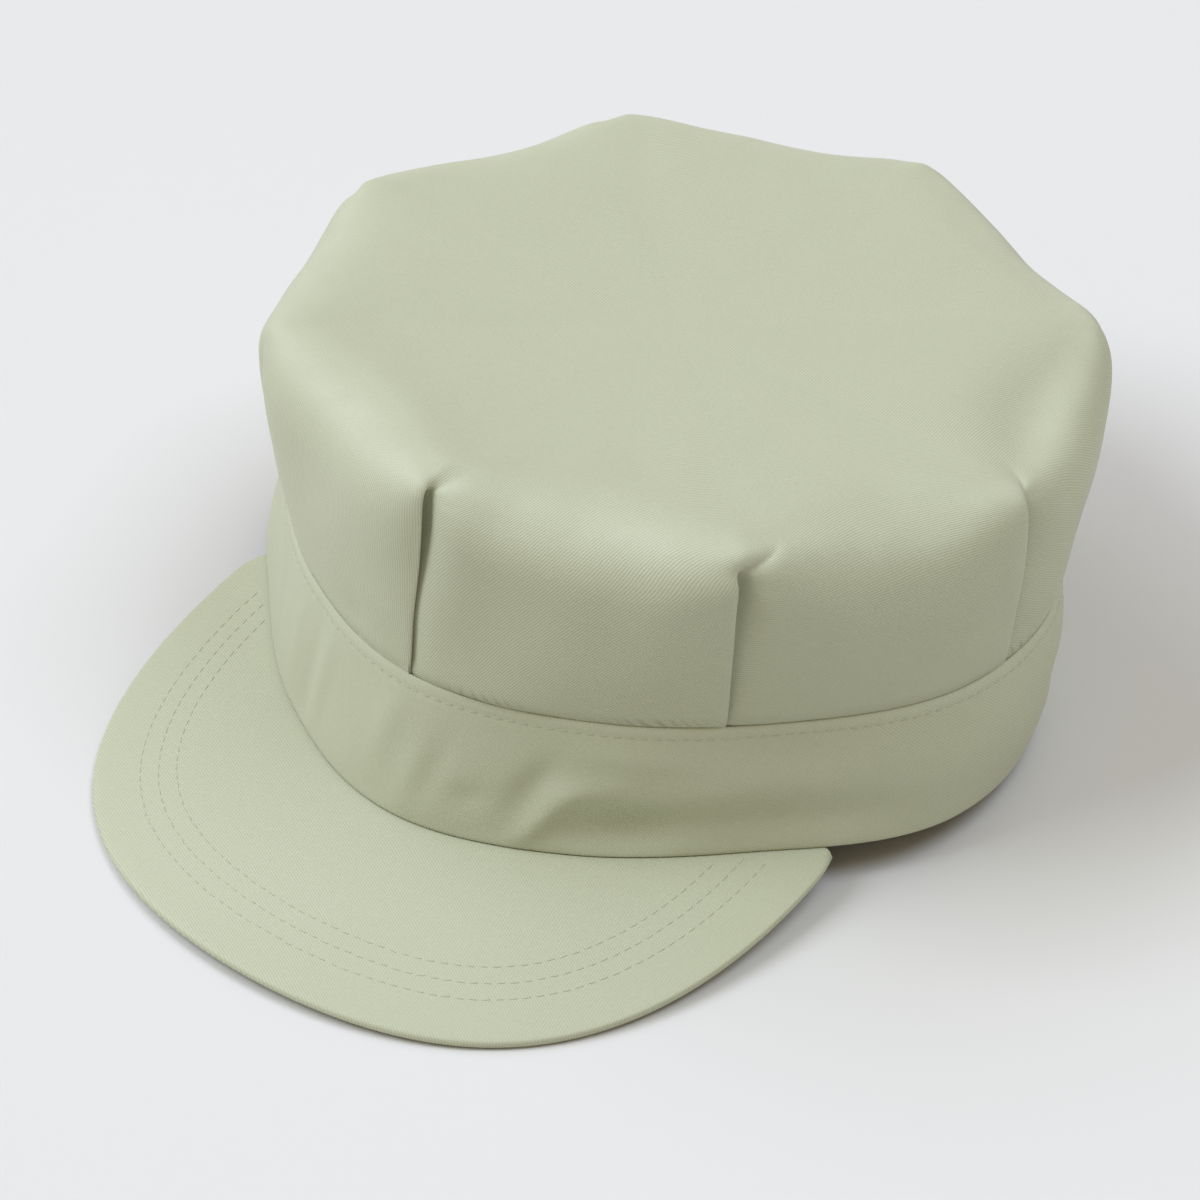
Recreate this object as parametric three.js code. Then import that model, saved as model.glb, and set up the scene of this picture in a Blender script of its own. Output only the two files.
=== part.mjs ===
// Eight panel work cap: a soft crown with an octagonal top, pleated into a cloth band, and a stiff peak.
// Millimetres, +Z up. The cap faces -Y. It rests as it would by itself, leaning back a little,
// on the rim of its peak and on the back of its band.
// The shape is worked out upright, with the band's lower edge near z = 0, and leaned back at the end.
import * as THREE from 'three';
import { mergeVertices } from 'three/addons/utils/BufferGeometryUtils.js';

// Driving dimensions
const LEAN_BACK = 5.4; // degrees
const BAND_RAISED = 7.8; // the middle of the band's lower edge above the surface
const CROWN_WALL = 1.5; // crown cloth with its turned allowances
const BAND_WALL = 2.2; // doubled band cloth
const PEAK_THICK = 2.4; // board between two layers of cloth
const SEAM_GAP = 0.3; // clearance between two sewn pieces
const SEAM_HEIGHT = 34.8; // band's upper edge at the sides
const SEAM_DIPS_AT_FRONT = 1.7;
const SEAM_BACK = 7; // the upper ring's middle behind the lower ring's middle
const FRONT_DIP = 2.9; // the band's lower edge hangs lower over the peak
const SKIRT_LEVELS = [0.74, 0.87, 0.99]; // crown cloth tucked down behind the band, as shares of its height
const TOP_BACK = 18.5; // the octagon's middle behind the lower ring's middle
const TOP_SAG = 1.0; // the middle of the top below its corners
const TOP_MIDDLE_FORWARD = 2; // the top's lowest place in front of the octagon's middle
const CORNER_SOFTNESS = 2.5; // how much each corner of the octagon is rounded off
const SOFT_SHARE = 0.36; // share of half a panel, beside its corner, that the rounding takes
const CORNER_SPREAD = 2.2; // power by which a corner's shape fades towards the panel's middle
const PANELS = 8;

// Ring stations from the front round to the back, the same on both sides
const STATIONS = [
  { angle: 0, low: 86.5, seam: 86.5, belly: 0.0 },
  { angle: 30, low: 83.0, seam: 84.0, belly: 0.3 },
  { angle: 60, low: 86.0, seam: 87.0, belly: 0.5 },
  { angle: 90, low: 103.0, seam: 100.0, belly: 2.0 },
  { angle: 120, low: 105.0, seam: 103.0, belly: 3.0 },
  { angle: 150, low: 92.0, seam: 91.0, belly: 2.0 },
  { angle: 180, low: 86.0, seam: 85.0, belly: 1.5 },
];

// Octagon corners from the front round to the back: the pleat's foot on the seam, the corner's
// distance from the octagon's middle and its height
const CORNERS = [
  { foot: 0, out: 102, high: 89 },
  { foot: 51, out: 102.5, high: 86.5 },
  { foot: 96, out: 104.5, high: 84 },
  { foot: 138, out: 107.5, high: 84 },
  { foot: 180, out: 108, high: 86 },
];

// Crown sections from the seam up to the flat of the top. reach goes from the seam, 0, to the
// octagon, 1. The insets go in from there, at a corner and in the middle of a panel. The rises go
// from the seam's height, 0, to the corner's height, 1. fold is how far a pleat's edge stands out.
const SECTIONS = [
  { reach: 0.0, cornerInset: 0.0, middleInset: 2.0, cornerRise: 0.0, middleRise: 0.0, fold: 0.0 },
  { reach: 0.1, cornerInset: 0.0, middleInset: -0.8, cornerRise: 0.07, middleRise: 0.06, fold: 1.4 },
  { reach: 0.35, cornerInset: 0.0, middleInset: -2.5, cornerRise: 0.25, middleRise: 0.2, fold: 1.8 },
  { reach: 0.66, cornerInset: 0.0, middleInset: -3.6, cornerRise: 0.5, middleRise: 0.4, fold: 2.4 },
  { reach: 0.9, cornerInset: 0.0, middleInset: -3.6, cornerRise: 0.7, middleRise: 0.59, fold: 3.2 },
  { reach: 1.0, cornerInset: 0.0, middleInset: -2.6, cornerRise: 0.83, middleRise: 0.75, fold: 2.6 },
  { reach: 1.0, cornerInset: 0.8, middleInset: 0.5, cornerRise: 0.92, middleRise: 0.88, fold: 0.8 },
  { reach: 1.0, cornerInset: 4.0, middleInset: 6.0, cornerRise: 0.98, middleRise: 0.955, fold: 0.0 },
  { reach: 1.0, cornerInset: 12.0, middleInset: 17.0, cornerRise: 1.0, middleRise: 0.99, fold: 0.0 },
];
const SECTION_STEPS = 16; // loops worked out between the first section and the last
const TOP_LOOPS = [0.8, 0.6, 0.4, 0.2]; // shares of the way out from the top's middle

// Columns of one side panel as shares of its width. The first is the foot of the pleat that
// the panel comes out of, and the last is the pleat edge that lies over the next panel.
const PANEL_COLUMNS = [0.02, 0.08, 0.18, 0.32, 0.5, 0.68, 0.82, 0.93, 1.0];
const FOLD_UNDERCUT = 1.6; // how far a pleat's edge reaches over its foot
const FOLD_SHADE = 0.35; // depth of the foot as a share of the edge's height
const FOLD_RISES_FROM = 0.78; // share of the panel's width from which its edge lifts
const FOOT_ENDS_AT = 0.16; // share of the panel's width where its sunk foot ends
const OWN_PANEL = 1e-6; // keeps the last column of a panel in that panel

// Dents and rolls of the band: where, how wide and tall, and how far in or out
const BAND_CREASES = [
  { angle: 33, up: 0.22, wide: 11, tall: 0.3, out: -3.0 },
  { angle: 28, up: 0.62, wide: 12, tall: 0.22, out: 1.2 },
  { angle: 8, up: 0.35, wide: 5, tall: 0.35, out: 1.0 },
  { angle: 60, up: 0.3, wide: 12, tall: 0.4, out: 1.2 },
];
const BAND_COLUMNS = 72;
const BAND_LOOPS = 7;
const CREASES_FADE_OVER = 0.25; // share of the band's height below the seam where creases fade out

// Peak outline: half the peak as powers of the share t from its middle, 0, to its end, 1
const PEAK_END_ANGLE = 73.3; // where the peak's ends meet the band
const PEAK_REACH = 52.9; // from the band to the peak's front
const PEAK_DROP = 18.4; // its front edge below the band's lower edge
const PEAK_WIDTH_POWERS = { one: 121.9, three: -5.0 };
const PEAK_BACK_POWERS = { two: 57.9, four: 46.7, six: 19.8 };
const PEAK_RISE_POWERS = { two: -5.3, four: 22.1 };
const PEAK_COLUMNS = 56;
const PEAK_END = 0.985; // the last section before the pointed end
const PEAK_TUCK = 3.4; // how far the peak runs in under the band
const PEAK_CROSS = [0.25, 0.5, 0.75]; // loop points across the peak
const PEAK_RIM = [ // turned rim: distance in from the edge and share of the thickness
  { inward: 1.3, share: 1 },
  { inward: 0.45, share: 0.75 },
  { inward: 0, share: 0 },
];
const RIM_SHARE = 0.2; // the rim's most as a share of the peak's width at its pointed ends
const TANGENT_STEP = 0.01;

const radians = THREE.MathUtils.degToRad;

// Smooth curve through evenly spaced values, between the middle two of four
function between(before, from, to, after, share) {
  const rise = (to - before) * share;
  const bend = (2 * before - 5 * from + 4 * to - after) * share ** 2;
  const twist = (3 * from - before - 3 * to + after) * share ** 3;
  return 0.5 * (2 * from + rise + bend + twist);
}

// A station's value at any angle, mirrored for the other side
function station(name, angle) {
  const last = STATIONS.length - 1;
  const place = angle / (180 / last);
  const step = Math.floor(place);
  const value = (n) => STATIONS[Math.abs(n <= last ? n : 2 * last - n)][name];
  return between(value(step - 1), value(step), value(step + 1), value(step + 2), place - step);
}

// A section's value between the rows of the table
function section(name, place) {
  const last = SECTIONS.length - 1;
  const step = Math.min(Math.floor(place), last - 1);
  const value = (n) => SECTIONS[THREE.MathUtils.clamp(n, 0, last)][name];
  return between(value(step - 1), value(step), value(step + 1), value(step + 2), place - step);
}

function onRing(angle, radius, z, back = 0) {
  return new THREE.Vector3(radius * Math.sin(radians(angle)), back - radius * Math.cos(radians(angle)), z);
}

function lowEdge(angle, outward = 0) {
  const dip = FRONT_DIP * Math.max(Math.cos(radians(angle)), 0) ** 2;
  return onRing(angle, station('low', angle) + outward, -dip);
}

function seamEdge(angle, outward = 0, above = 0) {
  const height = SEAM_HEIGHT - SEAM_DIPS_AT_FRONT * Math.cos(radians(angle));
  return onRing(angle, station('seam', angle) + outward, height + above, SEAM_BACK);
}

// Leans the upright cap back, lifts it to its resting height and flattens what would sink in
function rest(point) {
  const leaned = point.clone().applyAxisAngle(new THREE.Vector3(1, 0, 0), -radians(LEAN_BACK));
  leaned.z = Math.max(leaned.z + BAND_RAISED, 0);
  return leaned;
}

// Closed body through loops with equal numbers of points. With poles the two ends close
// to a point, and without them the last loop joins the first.
function skin(loops, poles) {
  const count = loops[0].length;
  const points = loops.flat();
  const faces = [];
  const turns = poles ? loops.length - 1 : loops.length;
  for (let row = 0; row < turns; row += 1) {
    const next = (row + 1) % loops.length;
    for (let column = 0; column < count; column += 1) {
      const beside = (column + 1) % count;
      const low = [row * count + column, row * count + beside];
      const high = [next * count + column, next * count + beside];
      faces.push(low[0], low[1], high[1], low[0], high[1], high[0]);
    }
  }
  if (poles) {
    points.push(...poles);
    for (let column = 0; column < count; column += 1) {
      const beside = (column + 1) % count;
      const lastLoop = (loops.length - 1) * count;
      faces.push(points.length - 2, beside, column);
      faces.push(points.length - 1, lastLoop + column, lastLoop + beside);
    }
  }
  const geometry = new THREE.BufferGeometry();
  const positions = points.flatMap((point) => rest(point).toArray());
  geometry.setAttribute('position', new THREE.Float32BufferAttribute(positions, 3));
  geometry.setIndex(faces);
  return mergeVertices(geometry, 1e-4);
}

// Band
// How far the creases push the band's face out at a place on it
function creaseOut(angle, up) {
  const signed = angle > 180 ? angle - 360 : angle;
  return BAND_CREASES.reduce((sum, crease) => {
    const across = (signed - crease.angle) / crease.wide;
    const along = (up - crease.up) / crease.tall;
    return sum + crease.out * Math.exp(-(across ** 2) - along ** 2);
  }, 0);
}

// A point of the band's outer face, from its lower edge, 0, up to the seam, 1, or inside it
function bandPoint(angle, up, inward) {
  const belly = station('belly', angle) * Math.sin(Math.PI * up);
  const edgeFade = Math.min(1, (1 - up) / CREASES_FADE_OVER);
  const outward = belly + creaseOut(angle, up) * edgeFade - inward;
  return lowEdge(angle, outward).lerp(seamEdge(angle, outward), up);
}

function bandGeometry() {
  const angles = Array.from({ length: BAND_COLUMNS }, (_, column) => (column / BAND_COLUMNS) * 360);
  const levels = Array.from({ length: BAND_LOOPS }, (_, n) => n / (BAND_LOOPS - 1));
  const face = (inward) => levels.map((up) => angles.map((angle) => bandPoint(angle, up, inward)));
  return skin([...face(0), ...face(BAND_WALL).reverse()]);
}

// Crown
// The table's row for the octagon's nth corner, mirrored for the other side
function cornerRow(n) {
  return CORNERS[n <= PANELS / 2 ? n : PANELS - n];
}

function cornerPoint(n) {
  const row = cornerRow(n % PANELS);
  return onRing((n * 360) / PANELS, row.out, row.high, TOP_BACK);
}

// Foot angle on the seam below a place round the octagon, counted in panels
function footAngle(place) {
  const panel = Math.floor(place);
  const foot = (n) => (n <= PANELS / 2 ? cornerRow(n).foot : 360 - cornerRow(n).foot);
  return THREE.MathUtils.lerp(foot(panel), foot(panel + 1), place - panel);
}

// The octagon's edge with its corners rounded off a little
function octagonEdge(place) {
  const panel = Math.min(Math.floor(place), PANELS - 1);
  const share = place - panel;
  const edge = cornerPoint(panel).lerp(cornerPoint(panel + 1), share);
  const nearCorner = THREE.MathUtils.clamp((Math.abs(2 * share - 1) - 1) / SOFT_SHARE + 1, 0, 1);
  const outward = edge.clone().sub(new THREE.Vector3(0, TOP_BACK, 0)).setZ(0).normalize();
  return edge.addScaledVector(outward, -CORNER_SOFTNESS * nearCorner ** 2);
}

// A point of the smooth crown, without its pleats
function crownPoint(place, row) {
  const panelShare = place - Math.floor(place);
  const cornerShare = Math.abs(2 * panelShare - 1) ** CORNER_SPREAD;
  const mix = (middle, corner) => {
    return THREE.MathUtils.lerp(section(middle, row), section(corner, row), cornerShare);
  };
  const foot = seamEdge(footAngle(place));
  const edge = octagonEdge(place);
  const reach = section('reach', row);
  const fromSeam = foot.clone().setZ(0).normalize();
  const fromTop = edge.clone().sub(new THREE.Vector3(0, TOP_BACK, 0)).setZ(0).normalize();
  const outward = fromSeam.lerp(fromTop, reach).normalize();
  const height = foot.z + (edge.z - foot.z) * mix('middleRise', 'cornerRise');
  return foot.lerp(edge, reach).addScaledVector(outward, -mix('middleInset', 'cornerInset')).setZ(height);
}

function crownLoops() {
  const places = [];
  for (let panel = 0; panel < PANELS; panel += 1) {
    PANEL_COLUMNS.forEach((share) => places.push(panel + share - OWN_PANEL));
  }
  const inside = BAND_WALL + SEAM_GAP;
  const loops = SKIRT_LEVELS.map((up) => places.map((place) => bandPoint(footAngle(place), up, inside)));
  loops.push(places.map((place) => seamEdge(footAngle(place), -inside, SEAM_GAP)));
  const folds = loops.map(() => 0);
  for (let step = 1; step <= SECTION_STEPS; step += 1) {
    const row = (step / SECTION_STEPS) * (SECTIONS.length - 1);
    loops.push(places.map((place) => crownPoint(place, row)));
    folds.push(Math.max(section('fold', row), 0));
  }
  const rim = loops.at(-1);
  const middle = new THREE.Vector3(0, TOP_BACK - TOP_MIDDLE_FORWARD, 0);
  rim.forEach((point) => { middle.z += point.z / rim.length; });
  middle.z -= TOP_SAG;
  TOP_LOOPS.forEach((share) => {
    const height = (point) => THREE.MathUtils.lerp(middle.z, point.z, share ** 2);
    loops.push(rim.map((point) => middle.clone().lerp(point, share).setZ(height(point))));
    folds.push(0);
  });
  return { loops, folds, middle };
}

// Outward direction at a point of a stack of loops
function outwardAt(loops, row, column) {
  const count = loops[0].length;
  const loop = loops[row];
  const along = loop[(column + 1) % count].clone().sub(loop[(column + count - 1) % count]);
  const above = loops[Math.min(row + 1, loops.length - 1)][column];
  const below = loops[Math.max(row - 1, 0)][column];
  return { along: along.clone().normalize(), out: along.cross(above.clone().sub(below)).normalize() };
}

function crownGeometry() {
  const { loops, folds, middle } = crownLoops();
  const last = PANEL_COLUMNS.length - 1;
  const outer = loops.map((loop, row) => loop.map((point, column) => {
    const { along, out } = outwardAt(loops, row, column);
    const share = PANEL_COLUMNS[column % PANEL_COLUMNS.length];
    const overlap = THREE.MathUtils.smoothstep(share, FOLD_RISES_FROM, 1);
    const sunk = 1 - THREE.MathUtils.smoothstep(share, 0, FOOT_ENDS_AT);
    const lifted = point.clone().addScaledVector(out, folds[row] * (overlap - FOLD_SHADE * sunk));
    const isEdge = column % PANEL_COLUMNS.length === last;
    const undercut = isEdge ? FOLD_UNDERCUT * Math.min(folds[row], 1) : 0;
    return lifted.addScaledVector(along, undercut);
  }));
  const inner = loops.map((loop, row) => loop.map((point, column) => {
    const { out } = outwardAt(loops, row, column);
    return point.clone().addScaledVector(out, -CROWN_WALL - FOLD_SHADE * folds[row]);
  }));
  const lining = middle.clone().setZ(middle.z - CROWN_WALL);
  const stack = [...inner.reverse(), ...outer];
  return skin(stack, [lining, middle]);
}

// Peak
// A point of the traced rim, from one end, -1, over the front, 0, to the other end, 1
function peakEdge(t) {
  const end = lowEdge(PEAK_END_ANGLE);
  const front = lowEdge(0).y - PEAK_REACH;
  const { one, three } = PEAK_WIDTH_POWERS;
  const { two, four, six } = PEAK_BACK_POWERS;
  const rise = PEAK_RISE_POWERS;
  const x = one * t + three * t ** 3 + (end.x - one - three) * t ** 5;
  const y = front + two * t ** 2 + four * t ** 4 + six * t ** 6 + (end.y - front - two - four - six) * t ** 8;
  const lastRise = end.z + PEAK_DROP - rise.two - rise.four;
  const z = -PEAK_DROP + rise.two * t ** 2 + rise.four * t ** 4 + lastRise * t ** 6;
  return new THREE.Vector3(x, y, z - (SEAM_GAP + PEAK_THICK / 2) * t ** 6);
}

// A closed loop round one cross-section: a flat tongue under the band, then the board and its rim
function peakSection(t) {
  const under = SEAM_GAP + PEAK_THICK / 2;
  const angle = t * PEAK_END_ANGLE;
  const tucked = lowEdge(angle, -PEAK_TUCK).add(new THREE.Vector3(0, 0, -under));
  const seat = lowEdge(angle).add(new THREE.Vector3(0, 0, -under));
  const across = peakEdge(t).sub(seat);
  const width = across.length();
  across.normalize();
  const along = peakEdge(t + TANGENT_STEP).sub(peakEdge(t - TANGENT_STEP)).normalize();
  const upright = new THREE.Vector3(0, 0, PEAK_THICK / 2);
  const up = across.clone().cross(along).normalize();
  up.multiplyScalar(Math.sign(up.z) * PEAK_THICK / 2);
  const tongue = [{ point: tucked, lift: upright }, { point: seat, lift: upright }];
  const board = PEAK_CROSS.map((share) => ({
    point: seat.clone().addScaledVector(across, share * width),
    lift: up,
  }));
  const rim = PEAK_RIM.map(({ inward, share }) => ({
    point: seat.clone().addScaledVector(across, width - Math.min(inward, width * RIM_SHARE)),
    lift: up.clone().multiplyScalar(share),
  }));
  const half = [...tongue, ...board, ...rim];
  const top = half.map(({ point, lift }) => point.clone().add(lift));
  const bottom = half.slice(0, -1).map(({ point, lift }) => point.clone().sub(lift)).reverse();
  return [...top, ...bottom];
}

function peakGeometry() {
  const shares = Array.from({ length: PEAK_COLUMNS + 1 }, (_, n) => (2 * n) / PEAK_COLUMNS - 1);
  const loops = shares.map((share) => peakSection(PEAK_END * share));
  const centre = (loop) => {
    return loop.reduce((sum, point) => sum.addScaledVector(point, 1 / loop.length), new THREE.Vector3());
  };
  return skin(loops, [centre(loops[0]), centre(loops.at(-1))]);
}

// Assembly
const cloth = (r, g, b) => new THREE.MeshStandardMaterial({
  color: new THREE.Color().setRGB(r, g, b, THREE.SRGBColorSpace),
  roughness: 0.9,
  metalness: 0,
});

function piece(name, geometry, material) {
  const mesh = new THREE.Mesh(geometry, material);
  mesh.name = name;
  return mesh;
}

const cap = new THREE.Group();
cap.add(
  piece('crown', crownGeometry(), cloth(0.76, 0.78, 0.68)),
  piece('band', bandGeometry(), cloth(0.68, 0.7, 0.59)),
  piece('peak', peakGeometry(), cloth(0.77, 0.79, 0.69)),
);
// The origin is under the middle of the cap, on the surface that it rests on
const box = new THREE.Box3().setFromObject(cap);
cap.position.y = -(box.min.y + box.max.y) / 2;

export default cap;
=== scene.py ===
import math
from functools import lru_cache

import bmesh
import bpy
from mathutils import Matrix, Vector, noise


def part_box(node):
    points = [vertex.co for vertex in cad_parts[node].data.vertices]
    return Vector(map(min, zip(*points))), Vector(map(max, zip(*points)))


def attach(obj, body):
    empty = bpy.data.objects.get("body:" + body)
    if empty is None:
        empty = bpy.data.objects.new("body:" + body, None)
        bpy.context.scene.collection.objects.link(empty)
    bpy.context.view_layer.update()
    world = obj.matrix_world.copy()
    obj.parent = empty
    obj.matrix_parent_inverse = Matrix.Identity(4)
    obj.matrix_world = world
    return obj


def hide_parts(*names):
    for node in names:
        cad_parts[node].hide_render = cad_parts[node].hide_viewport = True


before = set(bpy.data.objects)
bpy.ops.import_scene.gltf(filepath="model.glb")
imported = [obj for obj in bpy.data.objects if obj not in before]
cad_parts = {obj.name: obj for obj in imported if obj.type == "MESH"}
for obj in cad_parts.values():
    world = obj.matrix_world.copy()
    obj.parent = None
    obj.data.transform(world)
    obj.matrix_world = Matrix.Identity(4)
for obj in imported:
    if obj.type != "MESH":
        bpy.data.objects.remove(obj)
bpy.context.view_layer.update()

# An eight panel work cap: one round of twill pleated eight times into a band, and a stiff peak.
# The shape is worked out in millimetres, upright and facing -Y, and leaned back by rest().
# Angles go round from the front towards the wearer's left, in degrees.
MM = 0.001
LEAN_BACK = 5.4  # degrees
BAND_RAISED = 7.8
SEAM_HEIGHT = 34.8  # the seam of crown and band
SEAM_DIPS_AT_FRONT = 1.7
SEAM_BACK = 7.0
FRONT_DIP = 2.9  # the band's lower edge
TOP_BACK = 18.5
TOP_SAG = 1.0
TOP_MIDDLE_FORWARD = 2.0
CORNER_SOFTNESS = 2.5
SOFT_SHARE = 0.36
CORNER_SPREAD = 2.2
PANELS = 8

# Ring radii from the front round to the back
STATION_STEP = 30  # degrees
STATIONS = {
    "low": (86.5, 83.0, 86.0, 103.0, 105.0, 92.0, 86.0),
    "seam": (86.5, 84.0, 87.0, 100.0, 103.0, 91.0, 85.0),
    "belly": (0.0, 0.3, 0.5, 2.0, 3.0, 2.0, 1.5),
}
# The octagon's corners from the front round to the back
CORNER_FOOT = (0.0, 51.0, 96.0, 138.0, 180.0)  # degrees round the seam
CORNER_OUT = (102.0, 102.5, 104.5, 107.5, 108.0)
CORNER_HIGH = (89.0, 86.5, 84.0, 84.0, 86.0)
# Sections of the crown's side from the seam, row 0, up to the flat of the top
TOP_ROW = 8
SECTIONS = {
    "reach": (0.0, 0.1, 0.35, 0.66, 0.9, 1.0, 1.0, 1.0, 1.0),
    "corner_inset": (0.0, 0.0, 0.0, 0.0, 0.0, 0.0, 0.8, 4.0, 12.0),
    "middle_inset": (0.0, -0.7, -1.9, -3.2, -3.8, -3.0, 0.6, 7.0, 18.0),
    "corner_rise": (0.0, 0.07, 0.25, 0.5, 0.7, 0.83, 0.92, 0.98, 1.0),
    "middle_rise": (0.0, 0.06, 0.2, 0.4, 0.59, 0.75, 0.88, 0.955, 0.99),
}

CLOTH = 0.5  # thickness of one ply of twill
BAND_WALL = 2.2
BAND_TOP_WALL = 0.7  # where the crown comes out from between the band's two layers
TUCK_GAP = 0.1  # from the band to the crown's tucked edge
TUCK_EASES = 0.5  # height over the seam by which the crown has left the band
INSET_OVER = (-0.04, 0.04)  # shares of the crown's rise
PEAK_THICK = 2.4
SEAM_GAP = 0.06


def blend(start, end, share):
    return start + (end - start) * share


def clamp(value, low=0.0, high=1.0):
    return max(low, min(high, value))


def smooth(value, low, high):
    share = clamp((value - low) / (high - low))
    return share * share * (3 - 2 * share)


def hump(value, middle, width):
    return math.exp(-(((value - middle) / width) ** 2))


def mound(aside, above, wide, tall):
    """1 in the middle of a soft oval mound, and soon nought away from it."""
    return math.exp(-((aside / wide) ** 2) - (above / tall) ** 2)


def through(values, place, mirrored):
    """A smooth curve through evenly spaced values; mirrored runs back again past the last one."""
    last = len(values) - 1
    step = math.floor(place) if mirrored else int(clamp(math.floor(place), 0, last - 1))

    def value(n):
        if mirrored:
            return values[abs(n if n <= last else 2 * last - n)]
        return values[int(clamp(n, 0, last))]

    before, start, end, after = (value(step + n) for n in (-1, 0, 1, 2))
    share = place - step
    rise = (end - before) * share
    bend = (2 * before - 5 * start + 4 * end - after) * share**2
    twist = (3 * start - before - 3 * end + after) * share**3
    return 0.5 * (2 * start + rise + bend + twist)


@lru_cache(maxsize=None)
def station(name, angle):
    return through(STATIONS[name], (angle % 360) / STATION_STEP, True)


@lru_cache(maxsize=None)
def section(name, row):
    return through(SECTIONS[name], row, False)


def noise_at(x, y, z, size):
    return noise.noise(Vector((x / size, y / size, z)))


def on_ring(angle, radius, z, back=0.0):
    turn = math.radians(angle)
    return Vector((radius * math.sin(turn), back - radius * math.cos(turn), z))


def low_edge(angle, outward=0.0):
    dip = FRONT_DIP * max(math.cos(math.radians(angle)), 0) ** 2
    return on_ring(angle, station("low", angle) + outward, -dip)


def seam_edge(angle, outward=0.0):
    height = SEAM_HEIGHT - SEAM_DIPS_AT_FRONT * math.cos(math.radians(angle))
    return on_ring(angle, station("seam", angle) + outward, height, SEAM_BACK)


# The peak's rim, as powers of the share t from its middle, 0, to its end, 1 or -1
PEAK_END_ANGLE = 73.3
PEAK_REACH = 52.9
PEAK_DROP = 18.4
RIM_ASIDE = (121.9, -5.0)  # t, t**3
RIM_BACK = (57.9, 46.7, 19.8)  # t**2, t**4, t**6
RIM_UP = (-5.3, 22.1)  # t**2, t**4


def by_powers(start, end, steps, first, t):
    """From start, by every other power of t, with a last step that brings it to end at t = 1."""
    steps = (*steps, end - start - sum(steps))
    return start + sum(step * t ** (first + 2 * n) for n, step in enumerate(steps))


def peak_edge(t):
    end = low_edge(PEAK_END_ANGLE)
    x = by_powers(0.0, end.x, RIM_ASIDE, 1, t)
    y = by_powers(low_edge(0).y - PEAK_REACH, end.y, RIM_BACK, 2, t)
    z = by_powers(-PEAK_DROP, end.z, RIM_UP, 2, t)
    return Vector((x, y, z - (SEAM_GAP + PEAK_THICK / 2) * t**6))


LEAN = Matrix.Rotation(-math.radians(LEAN_BACK), 3, "X")
# The peak's rim starts where the CAD's does
forward = (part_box("peak")[0][1] - (LEAN @ peak_edge(0) * MM).y) / MM


def rest(point):
    """Leans the upright cap back onto the surface and gives the place in metres."""
    leaned = LEAN @ point
    leaned.y += forward
    leaned.z = max(leaned.z + BAND_RAISED, 0.0)
    return leaned * MM


# Cloth grids
MERGED = 2e-6  # metres


def new_piece(name, bm):
    mesh = bpy.data.meshes.new(name)
    bm.to_mesh(mesh)
    bm.free()
    piece = bpy.data.objects.new(name, mesh)
    bpy.context.collection.objects.link(piece)
    return piece


def cloth(name, columns, rows, place, flat):
    """A piece of cloth from a grid. place and flat give a knot's place and its place on the cut."""
    bm = bmesh.new()
    bmesh.ops.create_grid(bm, x_segments=columns, y_segments=rows, size=0.5)
    uv = bm.loops.layers.uv.new("cut")
    knots = {v: (round((v.co.x + 0.5) * columns), round((v.co.y + 0.5) * rows)) for v in bm.verts}
    for face in bm.faces:
        face.smooth = True
        for loop in face.loops:
            loop[uv].uv = flat(*knots[loop.vert])
    for vert, knot in knots.items():
        vert.co = place(*knot)
    bmesh.ops.remove_doubles(bm, verts=bm.verts, dist=MERGED)
    piece = new_piece(name, bm)
    refine = piece.modifiers.new("Soften", "SUBSURF")
    refine.levels = refine.render_levels = 1
    return piece


# Band
BAND_COLUMNS = 220
BAND_FACE_ROWS = 22
BAND_FOLD_ROWS = 4
BAND_INNER_ROWS = 10
BAND_HEIGHT = 36.0
BAND_RADIUS = 94.0  # of the strip that it is cut from, sewn into a ring
BAND_LOW_FOLD = 0.25
MM_PER_DEGREE = 1.6
# Shares of the band's height
WALL_THINS_OVER = (0.45, 0.9)
LOW_EDGE_OVER = (-0.02, 0.12)
TOP_EDGE_OVER = 0.25
# A slight ripple all round, read from noise on a ring
RIPPLE_RING = 90.0
RIPPLE_UP = 1.5
RIPPLE_SIZE = 16.0
RIPPLE_OUT = 0.5
# Dents and rolls: degrees round, share up, slope in degrees, half length, half width, how far out
BAND_CREASES = (
    (25.6, 0.25, 52.0, 10.0, 2.6, 1.7),
    (31.0, 0.48, 12.0, 9.0, 3.0, 0.9),
    (22.8, 0.46, 60.0, 8.0, 3.4, -1.6),
    (39.0, 0.20, 0.0, 18.0, 5.6, -3.3),
    (66.0, 0.26, -2.0, 24.0, 5.2, -2.1),
    (60.0, 0.56, 6.0, 22.0, 6.0, 0.9),
    (90.0, 0.55, 35.0, 16.0, 6.0, 0.8),
    (38.0, 0.76, -6.0, 18.0, 3.6, 0.7),
    (13.0, 0.30, 20.0, 5.0, 3.6, -0.8),
    (7.0, 0.45, 75.0, 9.0, 2.6, -0.6),
    (3.0, 0.36, 80.0, 9.0, 2.6, 0.6),
    (-3.0, 0.62, 75.0, 12.0, 3.4, 0.6),
    (-21.0, 0.50, 80.0, 16.0, 2.2, 0.8),
    (-25.5, 0.45, 82.0, 16.0, 2.2, -0.8),
    (-32.0, 0.55, 84.0, 14.0, 2.6, 0.6),
    (-44.0, 0.50, 88.0, 14.0, 3.4, -0.6),
    (-75.0, 0.45, 20.0, 16.0, 6.0, -1.0),
    (118.0, 0.40, -15.0, 18.0, 5.0, -1.2),
    (150.0, 0.50, 30.0, 14.0, 5.0, 1.0),
    (-130.0, 0.40, 12.0, 18.0, 6.0, -1.3),
    (-165.0, 0.55, -25.0, 14.0, 5.0, 0.9),
)


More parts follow.
